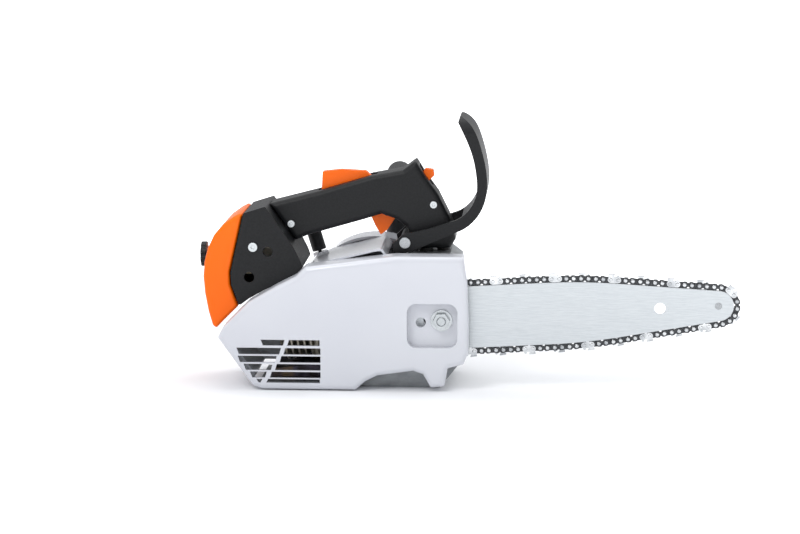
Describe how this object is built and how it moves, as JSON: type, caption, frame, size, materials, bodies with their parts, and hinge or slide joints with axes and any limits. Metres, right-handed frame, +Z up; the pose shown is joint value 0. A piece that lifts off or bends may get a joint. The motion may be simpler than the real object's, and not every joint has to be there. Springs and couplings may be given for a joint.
{
  "type": "chainsaw",
  "caption": "Small top-handle petrol chainsaw with guide bar, saw chain, hinged hand guard, pull starter, two-stroke engine and centrifugal clutch.",
  "frame": {"origin": "on the flat base the saw stands on, straight below the crankshaft axis", "axes": "+X forward along the guide bar, +Y to the operator's left, +Z up"},
  "size_m": [0.4716, 0.1715, 0.2345],
  "materials": {
    "case_casting": "painted satin",
    "alloy": "brushed",
    "steel": "satin",
    "dark_steel": "satin",
    "bright_steel": "polished",
    "bar_steel": "satin",
    "rubber": "matte",
    "black_plastic": "matte",
    "white_plastic": "gloss",
    "orange_plastic": "gloss",
    "filter_felt": "matte"
  },
  "bodies": {
    "powerhead": {"crankcase_right": "case_casting", "crankcase_left": "case_casting", "cylinder": "alloy", "spark_plug": "steel", "plug_boot": "rubber", "muffler": "dark_steel", "intake_boot": "rubber", "carburetor": "alloy", "air_filter": "filter_felt", "filter_cover": "orange_plastic", "rear_housing": "black_plastic", "engine_shroud": "white_plastic", "handle_shell_right": "black_plastic", "handle_shell_left": "black_plastic", "case_screws": "bright_steel", "lever_pins": "steel", "guard_pins": "steel", "av_mounts": "rubber", "crank_bearings": "steel", "oil_seals": "rubber", "brake_band": "steel", "bar_stud": "bright_steel", "bar_nut": "bright_steel", "side_plate": "steel", "sprocket_cover": "white_plastic", "guide_bar": "bar_steel", "nose_rivet": "steel", "drive_links": "dark_steel", "tie_straps_left": "dark_steel", "tie_straps_right": "dark_steel", "cutters_left": "bright_steel", "cutters_right": "bright_steel", "chain_rivets": "bright_steel", "starter_housing": "white_plastic", "rewind_spring": "steel", "front_handle": "black_plastic"},
    "crank": {"crankshaft": "steel", "flywheel": "alloy", "clutch_hub": "steel"},
    "shoe_1": {"clutch_shoe_1": "steel"},
    "shoe_2": {"clutch_shoe_2": "steel"},
    "shoe_3": {"clutch_shoe_3": "steel"},
    "clutch": {"clutch_drum": "steel"},
    "bar_tip_wheel": {"nose_sprocket": "steel"},
    "piston_set": {"piston": "alloy", "piston_ring": "steel", "wrist_pin": "steel", "connecting_rod": "steel", "crank_pin": "steel"},
    "guard": {"hand_guard": "black_plastic"},
    "throttle_trigger": {"trigger": "orange_plastic"},
    "throttle_lockout": {"interlock": "orange_plastic"},
    "stop_switch": {"stop_lever": "orange_plastic"},
    "pull_handle": {"starter_grip": "black_plastic", "starter_rope": "rubber"},
    "pulley": {"starter_pulley": "black_plastic"},
    "hood_knob": {"cover_knob": "black_plastic"},
    "fuel_filler": {"fuel_cap": "black_plastic"},
    "oil_filler": {"oil_cap": "black_plastic"},
    "chain_adjuster": {"tensioner": "steel"}
  },
  "joints": [
    {"name": "crank_spin", "type": "hinge", "parent": "powerhead", "child": "crank", "pos_m": [0, 0.004, 0.058], "axis": [0, 1, 0], "continuous": true},
    {"name": "clutch_spin", "type": "hinge", "parent": "powerhead", "child": "clutch", "pos_m": [0, -0.031, 0.058], "axis": [0, 1, 0], "continuous": true},
    {"name": "tip_spin", "type": "hinge", "parent": "powerhead", "child": "bar_tip_wheel", "pos_m": [0.3016, -0.042, 0.07486], "axis": [0, 1, 0], "continuous": true},
    {"name": "piston_stroke", "type": "slide", "parent": "powerhead", "child": "piston_set", "axis": [0.9903, 0, 0.1392], "range_m": [0, 0.026]},
    {"name": "guard_swing", "type": "hinge", "parent": "powerhead", "child": "guard", "pos_m": [0.031, 0.002, 0.1255], "axis": [0, 1, 0], "range_deg": [0, 20]},
    {"name": "trigger_pull", "type": "hinge", "parent": "powerhead", "child": "throttle_trigger", "pos_m": [0.015, 0.002, 0.1505], "axis": [0, 1, 0], "range_deg": [0, 12], "stiffness_Nm_per_rad": 0.2, "springref_deg": -5.73},
    {"name": "lockout_press", "type": "hinge", "parent": "powerhead", "child": "throttle_lockout", "pos_m": [-0.006, 0.002, 0.173], "axis": [0, -1, 0], "range_deg": [0, 10], "stiffness_Nm_per_rad": 0.2, "springref_deg": -5.73},
    {"name": "stop_flick", "type": "hinge", "parent": "powerhead", "child": "stop_switch", "pos_m": [0.045, 0.002, 0.177], "axis": [0, 1, 0], "range_deg": [0, 15]},
    {"name": "starter_pull", "type": "slide", "parent": "powerhead", "child": "pull_handle", "axis": [-0.2924, 0, 0.9563], "range_m": [0, 0.6], "stiffness_N_per_m": 3, "springref_m": -0.3},
    {"name": "pulley_spin", "type": "hinge", "parent": "powerhead", "child": "pulley", "pos_m": [0, 0.068, 0.058], "axis": [0, 1, 0], "range_deg": [0, 945]},
    {"name": "knob_turn", "type": "hinge", "parent": "powerhead", "child": "hood_knob", "pos_m": [-0.146, 0.004, 0.109], "axis": [1, 0, 0], "range_deg": [0, 90]},
    {"name": "fuel_cap_turn", "type": "hinge", "parent": "powerhead", "child": "fuel_filler", "pos_m": [0.069, 0.04, 0.092], "axis": [0, 1, 0], "range_deg": [0, 90]},
    {"name": "oil_cap_turn", "type": "hinge", "parent": "powerhead", "child": "oil_filler", "pos_m": [0.0665, 0.04, 0.027], "axis": [0, 1, 0], "range_deg": [0, 90]},
    {"name": "adjuster_turn", "type": "hinge", "parent": "powerhead", "child": "chain_adjuster", "pos_m": [0.04598, -0.035, 0.05957], "axis": [0, 1, 0], "continuous": true},
    {"name": "shoe_1_slide", "type": "slide", "parent": "crank", "child": "shoe_1", "axis": [0.4509, 0, 0.8926], "range_m": [0, 0.0014], "stiffness_N_per_m": 5000, "springref_m": -0.0002},
    {"name": "shoe_2_slide", "type": "slide", "parent": "crank", "child": "shoe_2", "axis": [-0.9984, 0, -0.0558], "range_m": [0, 0.0014], "stiffness_N_per_m": 5000, "springref_m": -0.0002},
    {"name": "shoe_3_slide", "type": "slide", "parent": "crank", "child": "shoe_3", "axis": [0.5476, 0, -0.8368], "range_m": [0, 0.0014], "stiffness_N_per_m": 5000, "springref_m": -0.0002}
  ],
  "couplings": [
    {"joint": "tip_spin", "follows": "clutch_spin", "ratio": 1},
    {"joint": "pulley_spin", "follows": "starter_pull", "rad_per_m": 27.322}
  ]
}
